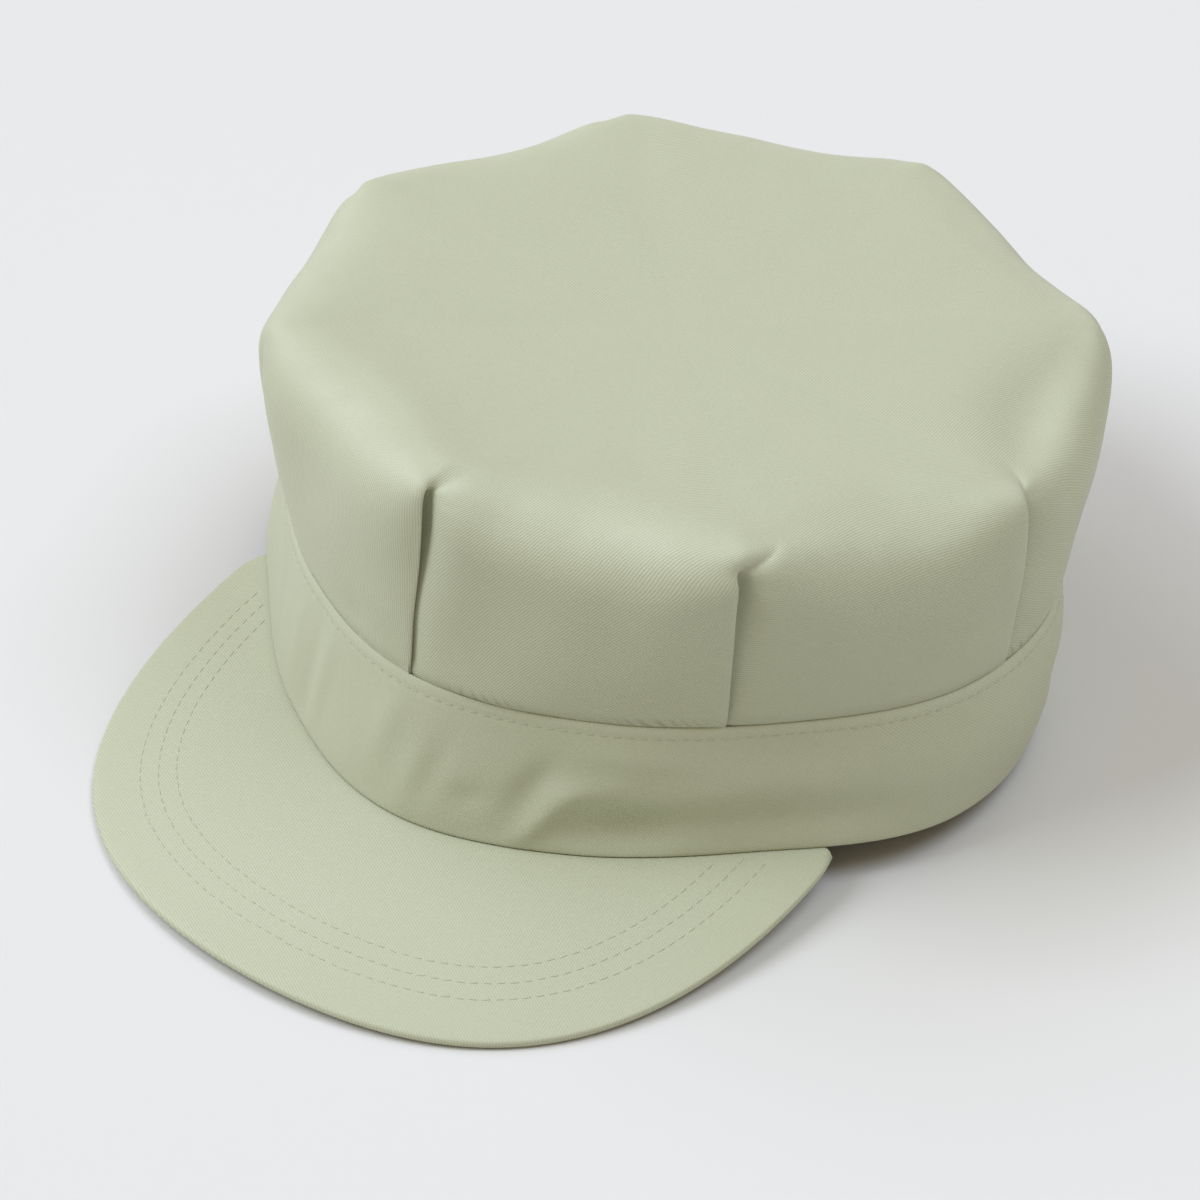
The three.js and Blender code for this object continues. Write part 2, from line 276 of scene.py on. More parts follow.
def crease_out(angle, up):
    signed = angle - 360 if angle > 180 else angle
    out = 0.0
    for middle, high, slope, long, wide, depth in BAND_CREASES:
        right = (signed - middle) * MM_PER_DEGREE
        rise = (up - high) * BAND_HEIGHT
        turn = math.radians(slope)
        along = right * math.cos(turn) + rise * math.sin(turn)
        across = rise * math.cos(turn) - right * math.sin(turn)
        out += depth * mound(along, across, long, wide)
    return out


def band_point(angle, up, inward):
    """A place on the band, at a share of its height up and some way in from its face."""
    belly = station("belly", angle) * math.sin(math.pi * clamp(up))
    off_edges = clamp((1 - up) / TOP_EDGE_OVER) * smooth(up, *LOW_EDGE_OVER)
    turn = math.radians(angle)
    x, y = RIPPLE_RING * math.cos(turn), RIPPLE_RING * math.sin(turn)
    ripple = RIPPLE_OUT * noise_at(x, y, up * RIPPLE_UP, RIPPLE_SIZE)
    outward = belly + (crease_out(angle % 360, up) + ripple) * off_edges - inward
    return low_edge(angle, outward).lerp(seam_edge(angle, outward), up)


def band_wall(up):
    return blend(BAND_WALL, BAND_TOP_WALL, smooth(up, *WALL_THINS_OVER))


def band_rim(row):
    """The band's cross-section from its outer lower edge, over the top fold and down inside."""
    low, high = BAND_WALL / 2, BAND_TOP_WALL / 2
    bottom, top = BAND_LOW_FOLD / BAND_HEIGHT, 1 - high / BAND_HEIGHT
    if row <= BAND_FACE_ROWS:
        return blend(bottom, top, row / BAND_FACE_ROWS), 0.0
    row -= BAND_FACE_ROWS
    if row <= BAND_FOLD_ROWS:
        turn = math.pi * row / BAND_FOLD_ROWS
        return top + (1 - top) * math.sin(turn), high - high * math.cos(turn)
    row -= BAND_FOLD_ROWS
    if row <= BAND_INNER_ROWS:
        up = blend(top, bottom, row / BAND_INNER_ROWS)
        return up, band_wall(up)
    turn = math.pi * (row - BAND_INNER_ROWS) / BAND_FOLD_ROWS
    return bottom - bottom * math.sin(turn), low + low * math.cos(turn)


def band_place(column, row):
    return rest(band_point(180 + 360 * column / BAND_COLUMNS, *band_rim(row)))


def band_flat(column, row):
    up, _ = band_rim(row)
    over = BAND_HEIGHT * (up if row <= BAND_FACE_ROWS + BAND_FOLD_ROWS else 2 - up)
    return 2 * math.pi * BAND_RADIUS * MM * column / BAND_COLUMNS, over * MM


band_rows = BAND_FACE_ROWS + 2 * BAND_FOLD_ROWS + BAND_INNER_ROWS
band = cloth("band_cloth", BAND_COLUMNS, band_rows, band_place, band_flat)

# Crown
# One pleat across, from the panel that lies on top, through the fold behind it, to the next panel.
# Pressed shut it has a share of the pleat's depth and of its edge's height. Higher up the next
# panel sinks away under the edge, ajar, and near the top the pleat opens into a dip.
PLEAT = (
    # shut: right, depth, edge, out, sunk    open: right, out
    (-9.0, 0.0, 0.05, 0.00, 0.0, -9.0, 0.0),
    (-6.0, 0.0, 0.30, 0.00, 0.0, -6.4, 0.0),
    (-3.6, 0.0, 0.70, 0.00, -0.1, -4.2, -0.05),
    (-1.9, 0.0, 0.95, -0.02, -0.3, -2.8, -0.25),
    (-0.9, 0.0, 1.00, -0.10, -0.5, -1.8, -0.6),
    (-0.3, 0.0, 0.90, -0.30, -0.65, -1.1, -1.0),
    (0.0, 0.0, 0.70, -0.60, -0.75, -0.6, -1.5),
    (-0.3, 0.0, 0.40, -1.00, -0.75, -0.3, -2.0),
    (-1.3, 0.0, 0.20, -1.15, -0.9, -0.1, -2.4),
    (0.0, -0.5, 0.10, -1.30, -1.6, 0.1, -2.8),
    (0.2, -1.0, 0.00, -1.45, -2.2, 0.4, -3.1),
    (0.0, -1.0, 0.00, -1.60, -2.4, 0.8, -3.2),
    (0.0, -0.5, 0.00, -1.70, -2.6, 1.2, -3.0),
    (-1.2, 0.0, 0.00, -1.75, -2.8, 1.8, -2.6),
    (0.45, 0.0, 0.00, -1.75, -2.6, 2.6, -1.9),
    (1.5, 0.0, 0.00, -1.00, -2.3, 4.0, -1.2),
    (4.6, 0.0, 0.00, -0.35, -1.3, 6.4, -0.5),
    (10.0, 0.0, 0.00, 0.00, 0.0, 10.0, 0.0),
)
# Each pleat from the front round: its edge's lift, how loosely it is pressed, how far it is ajar,
# the row that it opens on, its open dip's depth, the row that the dip ends on, and how far right
# of the corner its line is on each row of the side
PLEATS = (
    (0.3, 0.60, 1.10, 6.0, 1.20, 8.0, (-0.7, -0.4, 0.0, 0.7, 1.1, 1.0, 0.8, 0.9, 0.5)),
    (1.1, 0.90, 1.00, 5.0, 1.10, 7.3, (0.6, 0.5, 0.15, -0.2, -0.6, -0.6, -0.3, 5.0, 5.0)),
    (0.7, 0.85, 0.90, 6.0, 0.45, 8.2, (0.0, 0.0, -0.2, -0.5, -1.1, -1.9, -1.3, 2.0, 7.0)),
    (0.7, 0.85, 0.40, 4.6, 0.30, 7.3, (0.0, 0.0, 0.0, 0.0, 0.0, 0.0, 1.0, 2.0, 2.0)),
    (0.5, 0.85, 0.80, 5.2, 0.90, 7.3, (0.5, 0.3, 0.0, 0.5, 1.0, 1.4, 1.6, 0.6, 0.0)),
    (0.7, 0.90, 0.60, 4.8, 0.70, 7.3, (0.0, 0.0, 0.0, -0.4, -0.8, -0.9, 0.2, 3.0, 4.0)),
    (0.6, 0.85, 0.70, 5.0, 0.60, 7.2, (-0.5, -0.3, 0.0, 0.3, 0.6, 1.0, 1.4, 1.0, 0.0)),
    (0.3, 0.50, 0.00, 3.2, 0.10, 6.6, (0.0, 0.0, -0.3, -0.8, -1.4, -1.8, -1.8, 0.0, 0.0)),
)
PLEAT_DEPTHS = (1.5, 24.0)  # least and most
FULL_PLEAT_WIDTH = 66.0  # of a panel; where panels are narrower, the pleat is narrower too
# Rows of the side where a pleat's lift, looseness, sinking, opening and line start or end
LIFTED_BY = 2.0
LOOSE_BY = 1.2
TIGHT_SHARE = 0.3  # of its looseness, at the seam
AJAR_FROM, AJAR_BY = 2.2, 4.8
OPENS_OVER = 1.0
DIP_ENDS_OVER = 1.7
LINE_ENDS = (6.9, 8.4)

BETWEEN = 10  # columns from one pleat to the next
PANEL_COLUMNS = len(PLEAT) + BETWEEN
CROWN_COLUMNS = PANELS * PANEL_COLUMNS
SKIRT_UPS = (0.72, 0.8, 0.88, 0.95)  # shares of the band's height that the tucked edge comes up by
SIDE_STEP = 0.25  # rows of SECTIONS from one row of knots to the next
FIRST_STEP = 0.4  # steps from the seam to the first row of knots over it
SIDE_ROWS = int(TOP_ROW / SIDE_STEP)
TOP_SHARES = (0.93, 0.84, 0.74, 0.63, 0.51, 0.38, 0.24, 0.1, 0.0)  # of the way out to the rim
# Columns drawn together on each row of the top
TOP_THINNING = (1, 1, 2, 2, 4, 4, 4, PANEL_COLUMNS, PANEL_COLUMNS)
CROWN_ROWS = len(SKIRT_UPS) + SIDE_ROWS + len(TOP_SHARES) - 1  # the last is the middle itself
# Soft dents and swells: panels round, row, half width, half height and how far out
PANEL_WIDE = 72.0
CROWN_SWELLS = (
    (0.27, 3.3, 13.0, 15.0, -2.6),
    (0.22, 6.3, 10.0, 9.0, -1.6),
    (0.50, 6.6, 12.0, 8.0, -1.2),
    (0.30, 0.9, 13.0, 6.0, 1.0),
    (0.62, 3.6, 9.0, 14.0, -0.8),
    (0.82, 5.2, 9.0, 9.0, 1.0),
    (1.16, 3.0, 7.0, 16.0, -0.9),
    (1.30, 3.2, 7.0, 18.0, 0.6),
    (1.62, 6.6, 15.0, 9.0, -2.6),
    (1.35, 6.2, 10.0, 8.0, -0.8),
    (1.55, 2.4, 14.0, 10.0, -0.7),
    (2.35, 7.4, 18.0, 9.0, -2.6),
    (2.40, 4.6, 18.0, 8.0, 1.6),
    (2.65, 7.2, 20.0, 9.0, -2.2),
    (-0.22, 4.6, 9.0, 12.0, 0.9),
    (-0.24, 1.6, 3.0, 3.5, -0.6),
    (-0.55, 4.4, 9.0, 14.0, -0.9),
    (-0.80, 4.0, 8.0, 14.0, 0.7),
    (3.40, 5.8, 14.0, 9.0, -1.6),
    (4.30, 5.6, 12.0, 9.0, -1.8),
    (4.70, 3.0, 12.0, 12.0, 0.9),
    (5.40, 5.8, 15.0, 9.0, -1.8),
    (6.35, 5.9, 12.0, 9.0, -1.6),
    (-1.40, 3.2, 12.0, 12.0, 0.8),
)
SWELLS_OVER = (0.0, 0.8)  # rows over the seam that dents and swells come in by
CROWN_RIPPLE_OUT = 0.4
CROWN_RIPPLE_SIZE = 13.0
CROWN_RIPPLE_TALL = 14.0
CROWN_RIPPLES_OVER = (0.2, 1.6)
PUCKER_OUT = 0.8
PUCKER_SIZE = 2.2
PUCKER_PLACE = 3.3  # in the noise
PUCKER_ROW, PUCKER_ROWS = 0.5, 0.6  # their middle and half height
PUCKER_ANGLE, PUCKER_ANGLES = 15, 11  # degrees
PUCKER_ELSEWHERE = 0.15


def corner_row(n):
    n %= PANELS
    return n if n <= PANELS / 2 else PANELS - n


def foot_of(n):
    turns, n = divmod(n, PANELS)
    foot = CORNER_FOOT[corner_row(n)]
    return 360 * turns + (foot if n <= PANELS / 2 else 360 - foot)


def foot_angle(place):
    panel = math.floor(place)
    return blend(foot_of(panel), foot_of(panel + 1), place - panel)


def corner_point(n):
    row = corner_row(n)
    return on_ring(n * 360 / PANELS, CORNER_OUT[row], CORNER_HIGH[row], TOP_BACK)


def level(vector):
    return Vector((vector.x, vector.y, 0)).normalized()


def from_middle(edge):
    return level(edge - Vector((0, TOP_BACK, 0)))


def octagon_edge(place):
    panel = math.floor(place)
    share = place - panel
    edge = corner_point(panel).lerp(corner_point(panel + 1), share)
    near_corner = clamp((abs(2 * share - 1) - 1) / SOFT_SHARE + 1)
    return edge - from_middle(edge) * CORNER_SOFTNESS * near_corner**2


def crown_side(place, row):
    """The crown without its pleats, from the seam, row 0, to the flat of the top, TOP_ROW."""
    share = place - math.floor(place)
    corner_share = abs(2 * share - 1) ** CORNER_SPREAD
    inset = blend(section("middle_inset", row), section("corner_inset", row), corner_share)
    rise = blend(section("middle_rise", row), section("corner_rise", row), corner_share)
    foot = seam_edge(foot_angle(place))
    edge = octagon_edge(place)
    reach = section("reach", row)
    outward = level(foot).lerp(from_middle(edge), reach).normalized()
    tucked = (BAND_TOP_WALL + TUCK_GAP) * math.exp(-rise * (edge.z - foot.z) / TUCK_EASES)
    point = foot.lerp(edge, reach) - outward * (inset * smooth(rise, *INSET_OVER) + tucked)
    point.z = foot.z + (edge.z - foot.z) * rise
    return point


rim_heights = [crown_side(n / 10, TOP_ROW).z for n in range(10 * PANELS)]
top_middle = sum(rim_heights) / len(rim_heights) - TOP_SAG


def side_row(row):
    """A row of knots' place between the seam, 0, and TOP_ROW; it goes on past both."""
    return (row - len(SKIRT_UPS) + FIRST_STEP) * SIDE_STEP


def crown_smooth(place, row):
    """A knot's place on the crown without its pleats, from the tucked skirt to the middle."""
    if row < len(SKIRT_UPS):
        up = SKIRT_UPS[row]
        return band_point(foot_angle(place), up, band_wall(up) + TUCK_GAP)
    if row < len(SKIRT_UPS) + SIDE_ROWS:
        return crown_side(place, side_row(row))
    share = TOP_SHARES[row - len(SKIRT_UPS) - SIDE_ROWS]
    rim = crown_side(place, TOP_ROW)
    middle = Vector((0, TOP_BACK - TOP_MIDDLE_FORWARD, top_middle))
    point = middle.lerp(rim, share)
    level_rim = top_middle + TOP_SAG
    point.z = blend(middle.z, level_rim, share**2) + (rim.z - level_rim) * share**6
    return point


def cut_radii():
    """How far each row of the crown is from the middle of its round cut, in millimetres."""
    radii = [0.0] * (CROWN_ROWS + 1)
    for row in range(CROWN_ROWS - 1, -1, -1):
        places = [n / 4 for n in range(4 * PANELS)]
        steps = [(crown_smooth(p, row) - crown_smooth(p, row + 1)).length for p in places]
        radii[row] = radii[row + 1] + sum(steps) / len(steps)
    return radii


cut_radius = cut_radii()
seam_radius = cut_radius[len(SKIRT_UPS)]


class PleatRow:
    """What one pleat does on one row: how far it is shut, ajar or open, how deep, and its line."""

    def __init__(self, corner, row):
        lift, loose, ajar, opens, self.mouth, top, line = PLEATS[corner]
        tenth = crown_smooth(corner + 0.05, row) - crown_smooth(corner - 0.05, row)
        self.width = max(tenth.length * 10, 1e-6)
        self.size = min(1, self.width / FULL_PLEAT_WIDTH)
        place = side_row(row)
        opened = smooth(place, opens, opens + OPENS_OVER)
        self.shut = 1 - opened
        self.open = opened * (1 - smooth(place, top - DIP_ENDS_OVER, top))
        self.sunk = ajar * smooth(place, AJAR_FROM, AJAR_BY)
        self.edge = lift * smooth(place, 0.0, LIFTED_BY)
        self.pressed = loose * blend(TIGHT_SHARE, 1.0, smooth(place, 0.0, LOOSE_BY))
        self.shift = through(line, clamp(place, 0, TOP_ROW), False)
        self.shift *= 1 - smooth(place, *LINE_ENDS)
        spare = math.radians(360 / PANELS) * cut_radius[row] - self.width
        self.depth = clamp(spare / 2, *PLEAT_DEPTHS)

    def knot(self, n):
        """How far the nth knot is right of the corner, in panels, and out, in millimetres."""
        right, depth, edge, out, sunk, open_right, open_out = PLEAT[n]
        share = n / (len(PLEAT) - 1)
        flat = 1 - self.shut - self.open
        across = self.shut * (right + depth * self.depth) + self.open * open_right
        across += flat * blend(PLEAT[0][0], PLEAT[-1][0], share)
        across += self.shift * math.sin(math.pi * share)
        outward = self.shut * (edge * self.edge + out * self.pressed + sunk * self.sunk)
        outward += self.open * open_out * self.mouth
        return across * self.size / self.width, outward


def out_at(place, row):
    along = crown_smooth(place + 0.02, row) - crown_smooth(place - 0.02, row)
    lower, upper = max(row - 1, 0), min(row + 1, CROWN_ROWS)
    outward = along.cross(crown_smooth(place, upper) - crown_smooth(place, lower))
    return outward.normalized() if outward.length > 1e-9 else Vector((0, 0, 1))


@lru_cache(maxsize=None)
def climb_at(high):
    """How far up the cloth a row of the side is from the seam, in millimetres."""
    row = clamp(high / SIDE_STEP - FIRST_STEP + len(SKIRT_UPS), 0, CROWN_ROWS - 1)
    below = int(row)
    return seam_radius - blend(cut_radius[below], cut_radius[below + 1], row - below)


def swelling(place, row):
    if side_row(row) < 0:
        return 0.0
    out = 0.0
    for middle, high, wide, tall, depth in CROWN_SWELLS:
        aside = ((place - middle + PANELS / 2) % PANELS - PANELS / 2) * PANEL_WIDE
        above = climb_at(high) - (seam_radius - cut_radius[row])
        out += depth * mound(aside, above, wide, tall)
    return out * smooth(side_row(row), *SWELLS_OVER)


def rippling(point, place, row):
    """Uneven cloth all over the side, and puckers at the seam, mostly beside the front pleat."""
    side = side_row(row)
    ripple = noise_at(point.x, point.y, point.z / CROWN_RIPPLE_TALL, CROWN_RIPPLE_SIZE)
    ripple *= smooth(side, *CROWN_RIPPLES_OVER)
    drawn = blend(PUCKER_ELSEWHERE, 1.0, hump(foot_angle(place), PUCKER_ANGLE, PUCKER_ANGLES))
    pucker = noise_at(point.x, point.y, PUCKER_PLACE, PUCKER_SIZE)
    pucker *= drawn * hump(side, PUCKER_ROW, PUCKER_ROWS)
    return CROWN_RIPPLE_OUT * ripple + PUCKER_OUT * pucker


def crown_knots(row):
    """All knots of one row, and how far round the cut each one is, in panels."""
    pleats = [PleatRow(corner, row) for corner in range(PANELS)]
    points = []
    for column in range(CROWN_COLUMNS):
        corner, n = divmod(column, PANEL_COLUMNS)
        if n < len(PLEAT):
            across, outward = pleats[corner].knot(n)
            place = corner + across
        else:
            start = corner + pleats[corner].knot(len(PLEAT) - 1)[0]
            end = corner + 1 + pleats[(corner + 1) % PANELS].knot(0)[0]
            place, outward = blend(start, end, (n - len(PLEAT) + 1) / (BETWEEN + 1)), 0.0
        point = crown_smooth(place, row)
        outward += rippling(point, place, row) + swelling(place, row)
        points.append(point + out_at(place, row) * outward)
    lengths = [0.0]
    for n in range(CROWN_COLUMNS):
        lengths.append(lengths[-1] + (points[(n + 1) % CROWN_COLUMNS] - points[n]).length)

    def length_at(column):
        turns, column = divmod(column, CROWN_COLUMNS)
        return lengths[column] + turns * lengths[-1]

    middle = len(PLEAT) + BETWEEN // 2
    rounds = []
    for column in range(CROWN_COLUMNS + 1):
        panel = (column - middle) // PANEL_COLUMNS
        first, last = (length_at((panel + n) * PANEL_COLUMNS + middle) for n in (0, 1))
        rounds.append(panel + 0.5 + (lengths[column] - first) / max(last - first, 1e-9))
    return points, rounds


crown_grid = [crown_knots(row) for row in range(CROWN_ROWS + 1)]


def thinned(column, row):
    first = len(SKIRT_UPS) + SIDE_ROWS
    return column - column % TOP_THINNING[row - first] if row >= first else column


def crown_place(column, row):
    return rest(crown_grid[row][0][thinned(column, row) % CROWN_COLUMNS])


def crown_flat(column, row):
    turn = math.radians(crown_grid[row][1][thinned(column, row)] * 360 / PANELS)
    radius = cut_radius[row] * MM
    return radius * math.sin(turn), -radius * math.cos(turn)


crown = cloth("crown_cloth", CROWN_COLUMNS, CROWN_ROWS, crown_place, crown_flat)
wall = crown.modifiers.new("Cloth thickness", "SOLIDIFY")
wall.thickness = CLOTH * MM
wall.offset = -1

# Peak
PEAK_COLUMNS = 150
PEAK_BOARD_ROWS = 16
PEAK_RIM_ROWS = 6
PEAK_LAST = 0.985  # t of its last column
PEAK_TUCK = 3.4
PEAK_ROWS = 2 * PEAK_BOARD_ROWS + PEAK_RIM_ROWS + 2


def peak_frame(t):
    """The tucked edge, the seat under the band, the way out to the rim, the width, the upside."""
    angle = t * PEAK_END_ANGLE
    drop = Vector((0, 0, -SEAM_GAP - PEAK_THICK / 2))
    seat = low_edge(angle) + drop
    across = peak_edge(t) - seat
    width = across.length
    across.normalize()
    along = (peak_edge(t + 0.01) - peak_edge(t - 0.01)).normalized()
    up = across.cross(along).normalized()
    up *= math.copysign(1, up.z)
    return low_edge(angle, -PEAK_TUCK) + drop, seat, across, width, up


def lifted(up, share):
    """Straight up at the seat, and the board's own upside further out."""
    return Vector((0, 0, 1)).lerp(up, smooth(share, 0.0, 0.3)).normalized()


def peak_knot(t, row):
    """A place on the peak's skin, from the tucked edge over the rim and back underneath."""
    tucked, seat, across, width, up = peak_frame(t)
    half = PEAK_THICK / 2
    rim = min(half, width * 0.2)
    rim_rows = PEAK_RIM_ROWS / 2
    side = 1 if row <= PEAK_BOARD_ROWS + 1 + rim_rows else -1
    step = row if side == 1 else PEAK_ROWS - row
    if step == 0:
        return tucked + Vector((0, 0, side * half))
    if step <= PEAK_BOARD_ROWS + 1:
        share = (step - 1) / PEAK_BOARD_ROWS
        return seat + across * (width - rim) * share + lifted(up, share) * side * half
    turn = math.pi / 2 * (step - PEAK_BOARD_ROWS - 1) / rim_rows
    out = seat + across * (width - rim + rim * math.sin(turn))
    return out + up * side * half * math.cos(turn)


def peak_place(column, row):
    t = PEAK_LAST * (2 * clamp(column / PEAK_COLUMNS) - 1)
    if column in (0, PEAK_COLUMNS):
        knots = [peak_knot(t, n) for n in range(PEAK_ROWS)]
        return rest(sum(knots, Vector()) / len(knots))
    return rest(peak_knot(t, row % PEAK_ROWS))


def peak_flat(column, row):
    point = peak_knot(PEAK_LAST * (2 * column / PEAK_COLUMNS - 1), min(row, PEAK_ROWS - 1))
    return point.x * MM, point.y * MM


peak = cloth("peak_board", PEAK_COLUMNS, PEAK_ROWS, peak_place, peak_flat)

# Stitches
STITCH_LONG = 2.5
STITCH_PITCH = 3.1
STITCH_WIDE = 0.38
STITCH_UP = 1 - 3.0 / BAND_HEIGHT
BAND_SUNK, PEAK_SUNK = 0.05, 0.03  # of a thread's middle under the face
PEAK_STITCH_ROWS = (12.0, 16.5, 21.0)  # in from the rim
BATCH = 1000  # vertices joined at a time, which is quicker than one large mesh
WALK_STEPS = 2000
RIM_KNOTS = 120
HALVINGS = 9


def pour(batch, bm):
    """Moves all of a small bmesh into a large one."""
    mesh = bpy.data.meshes.new("batch")
    batch.to_mesh(mesh)
    batch.clear()
    bm.from_mesh(mesh)
    bpy.data.meshes.remove(mesh)


def stitches(name, rows):
    """Threads along rows of (place, along, out), each half sunk into the cloth."""
    bm = bmesh.new()
    half_long, half_wide = STITCH_LONG / 2 * MM, STITCH_WIDE / 2 * MM
    size = Matrix.Diagonal((half_long, half_wide, half_wide, 1))
    bmesh.ops.create_uvsphere(bm, u_segments=6, v_segments=5, radius=1, matrix=size)
    for face in bm.faces:
        face.smooth = True
    one = bpy.data.meshes.new("stitch")
    bm.to_mesh(one)
    bm.clear()
    batch = bmesh.new()
    for place, along, out in rows:
        thread = one.copy()
        turn = Matrix((along, out.cross(along), out)).transposed().to_4x4()
        thread.transform(Matrix.Translation(place) @ turn)
        batch.from_mesh(thread)
        bpy.data.meshes.remove(thread)
        if len(batch.verts) > BATCH:
            pour(batch, bm)
    pour(batch, bm)
    batch.free()
    bpy.data.meshes.remove(one)
    return new_piece(name, bm)


def walk(point, start, end):
    """Places a stitch apart along a curve, with their directions."""
    curve = [point(blend(start, end, n / WALK_STEPS)) for n in range(WALK_STEPS + 1)]
    gone, due = 0.0, STITCH_PITCH / 2
    for (place, out), (following, _) in zip(curve, curve[1:]):
        length = (following - place).length / MM
        while gone + length >= due:
            along = (following - place).normalized()
            level_out = (out - along * out.dot(along)).normalized()
            yield place.lerp(following, (due - gone) / length), along, level_out
            due += STITCH_PITCH
        gone += length


def band_row(inward, side):
    def point(angle):
        place = rest(band_point(angle, STITCH_UP, inward))
        above = rest(band_point(angle, STITCH_UP + 0.02, inward))
        aside = rest(band_point(angle + 0.5, STITCH_UP, inward))
        out = (aside - place).cross(above - place).normalized() * side
        return place - out * BAND_SUNK * MM, out

    return walk(point, 0, 360)


rim_line = [peak_edge(n / RIM_KNOTS) for n in range(-RIM_KNOTS, RIM_KNOTS + 1)]


def from_rim(place):
    return min((place - knot).length for knot in rim_line)


@lru_cache(maxsize=None)
def stitch_reach(n, inward):
    """How far out from the seat a stitch row is at t = n / RIM_KNOTS, or None past its ends."""
    _, seat, across, width, _ = peak_frame(n / RIM_KNOTS)
    low, high = 1.0, width
    if from_rim(seat + across) < inward:
        return None
    for _ in range(HALVINGS):
        reach = (low + high) / 2
        if from_rim(seat + across * reach) > inward:
            low = reach
        else:
            high = reach
    return reach


def peak_row(inward, side):
    knots = [n for n in range(-RIM_KNOTS + 2, RIM_KNOTS - 1) if stitch_reach(n, inward)]

    def point(t):
        n = int(clamp(math.floor(t * RIM_KNOTS), knots[0], knots[-1] - 1))
        reach = blend(stitch_reach(n, inward), stitch_reach(n + 1, inward), t * RIM_KNOTS - n)
        _, seat, across, width, up = peak_frame(t)
        out = lifted(up, reach / width) * side
        return rest(seat + across * reach + out * (PEAK_THICK / 2 - PEAK_SUNK)), LEAN @ out

    return walk(point, knots[0] / RIM_KNOTS, knots[-1] / RIM_KNOTS)


band_thread = stitches("band_stitches", [*band_row(0, 1), *band_row(band_wall(STITCH_UP), -1)])
peak_rows = [peak_row(inward, side) for inward in PEAK_STITCH_ROWS for side in (1, -1)]
peak_thread = stitches("peak_stitches", [knot for row in peak_rows for knot in row])


# Finishes, in metres
class Number:
    """A number that varies over a surface. Its operators add Math nodes."""

    def __init__(self, finish, socket):
        self.finish = finish
        self.socket = socket

    def math(self, operation, *values):
        return self.finish.add("ShaderNodeMath", {"operation": operation}, dict(enumerate(values)))

    def __add__(self, other):
        return self.math("ADD", self, other)

    __radd__ = __add__

    def __mul__(self, other):
        return self.math("MULTIPLY", self, other)

    __rmul__ = __mul__

    def __sub__(self, other):
        return self.math("SUBTRACT", self, other)

    def __rsub__(self, other):
        return self.math("SUBTRACT", other, self)

    def __truediv__(self, other):
        return self.math("DIVIDE", self, other)

    def __pow__(self, other):
        return self.math("POWER", self, other)

    def bell(self):
        """1 where the number is nought, and soon nought away from it."""
        return self.math("EXPONENT", self * self * -1)

    def clamped(self):
        return self.finish.add("ShaderNodeClamp", {}, {"Value": self})

    def wave(self):
        """From 0 to 1 and back once for each whole number."""
        return self.math("SINE", self * (2 * math.pi)) * 0.5 + 0.5


MIX_LOW, MIX_HIGH, MIXED = 6, 7, 2  # the Mix node's sockets for colours


class Finish:
    """One material, with the nodes that its pattern is made of."""

    def __init__(self, name, **constants):
        self.material = bpy.data.materials.new(name)
        self.material.use_nodes = True
        self.tree = self.material.node_tree
        self.shader = self.tree.nodes["Principled BSDF"]
        for socket, value in constants.items():
            self.shader.inputs[socket.replace("_", " ")].default_value = value

    def add(self, kind, settings, sockets, output=0):
        """Adds a node, with its settings first and then its sockets' values or links."""
        node = self.tree.nodes.new(kind)
        for setting, value in settings.items():
            setattr(node, setting, value)
        for socket, value in sockets.items():
            if isinstance(value, Number):
                self.tree.links.new(value.socket, node.inputs[socket])
            else:
                node.inputs[socket].default_value = value
        return Number(self, node.outputs[output])

    def feed(self, socket, value):
        self.tree.links.new(value.socket, self.shader.inputs[socket])

    def cut(self):
        """How far along and across the flat cut."""
        place = self.add("ShaderNodeUVMap", {"uv_map": "cut"}, {})
        along = self.add("ShaderNodeSeparateXYZ", {}, {0: place})
        return along, Number(self, along.socket.node.outputs[1])

    def cloud(self, size, detail, seed):
        """Smooth noise with patches of that size, from 0 to 1."""
        place = self.add("ShaderNodeTexCoord", {}, {}, output="Object")
        sockets = {"Vector": place, "W": seed, "Scale": 1 / size, "Detail": detail}
        return self.add("ShaderNodeTexNoise", {"noise_dimensions": "4D"}, sockets)

    def sway(self, by, size, detail, seed):
        """The same noise, both ways from nought."""
        return (self.cloud(size, detail, seed) - 0.5) * by

    def tint(self, share, low, high):
        sockets = {"Factor": share, MIX_LOW: low, MIX_HIGH: high}
        return self.add("ShaderNodeMix", {"data_type": "RGBA"}, sockets, output=MIXED)


MOSS = (0.50, 0.53, 0.385, 1)
MOSS_DEEP = (0.37, 0.387, 0.265, 1)
MOSS_PALE = (0.58, 0.615, 0.46, 1)
# painted highlight colour, for the crown's roll into the top and the band's top edge
MOSS_PAINTED_HIGHLIGHT = (0.66, 0.69, 0.545, 1)
SHADED = (0.27, 0.28, 0.19, 1)
THREAD_DEEP = (0.41, 0.43, 0.30, 1)
TWILL_PITCH = 0.0006  # from rib to rib
FLOAT_PITCH = 0.00081  # from float to float along a rib
RIB_SHOWS, FLOAT_SHOWS, SLUB_SHOWS = 0.62, 0.14, 0.36
PAINTED_HIGHLIGHT_SHARE = 0.32
# painted shade along the crown's seam and in the puckers' dips
SEAM_SHADE, PUCKER_SHADE = 0.15, 0.5
ROUGH, RIB_GLOSS = 0.66, 0.1
NEEDLE_WIDE, NEEDLE_DEEP = 0.0009, 1.5
# Puckers over the crown's seam: how high up, how tall, their pitch, slant and depth
DRAWN_UP, DRAWN_TALL = 0.0014, 0.0018
PUCKER_PITCH, PUCKER_SLANT, PUCKER_DEEP = 0.0031, 0.6, 4.0
GATHERED = ((0.25, 0.06), (0.51, 0.07))  # radians round the cut from the front, and half width
BACK_FROM = 2.2  # the square of the radians past which the back is gathered too


